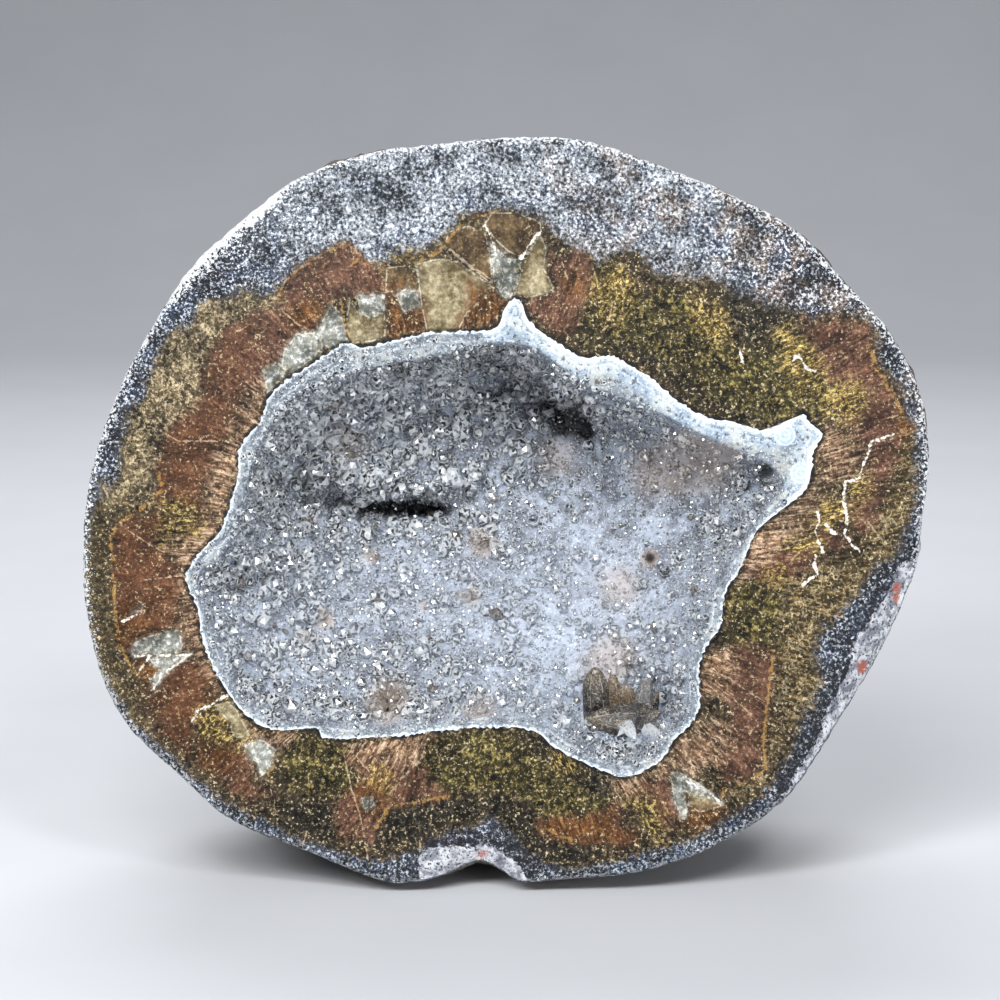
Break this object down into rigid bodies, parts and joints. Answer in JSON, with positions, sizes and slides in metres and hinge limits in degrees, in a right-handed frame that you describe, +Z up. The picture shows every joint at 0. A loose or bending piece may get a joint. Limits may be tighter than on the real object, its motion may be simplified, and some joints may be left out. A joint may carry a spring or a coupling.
{
  "type": "geode half",
  "caption": "Half of a cut geode standing on its rounded edge, with a crystal-lined hollow in its polished face; a display specimen.",
  "frame": {"origin": "middle of the footprint of the whole stone, on the surface it stands on", "axes": "+X to the right across the cut face, +Y back into the stone away from the cut face, +Z up"},
  "size_m": [0.12, 0.062, 0.1058],
  "materials": {
    "rock": "polished brown and olive agate on the cut face, frosted grey rind round it, rough natural back",
    "crystal_crust": "sparkling bluish white quartz crystals",
    "smoky_crystals": "dark glossy smoky quartz"
  },
  "bodies": {
    "root": {"rock": "rock", "crystal_crust": "crystal_crust", "smoky_crystals": "smoky_crystals"}
  },
  "joints": []
}
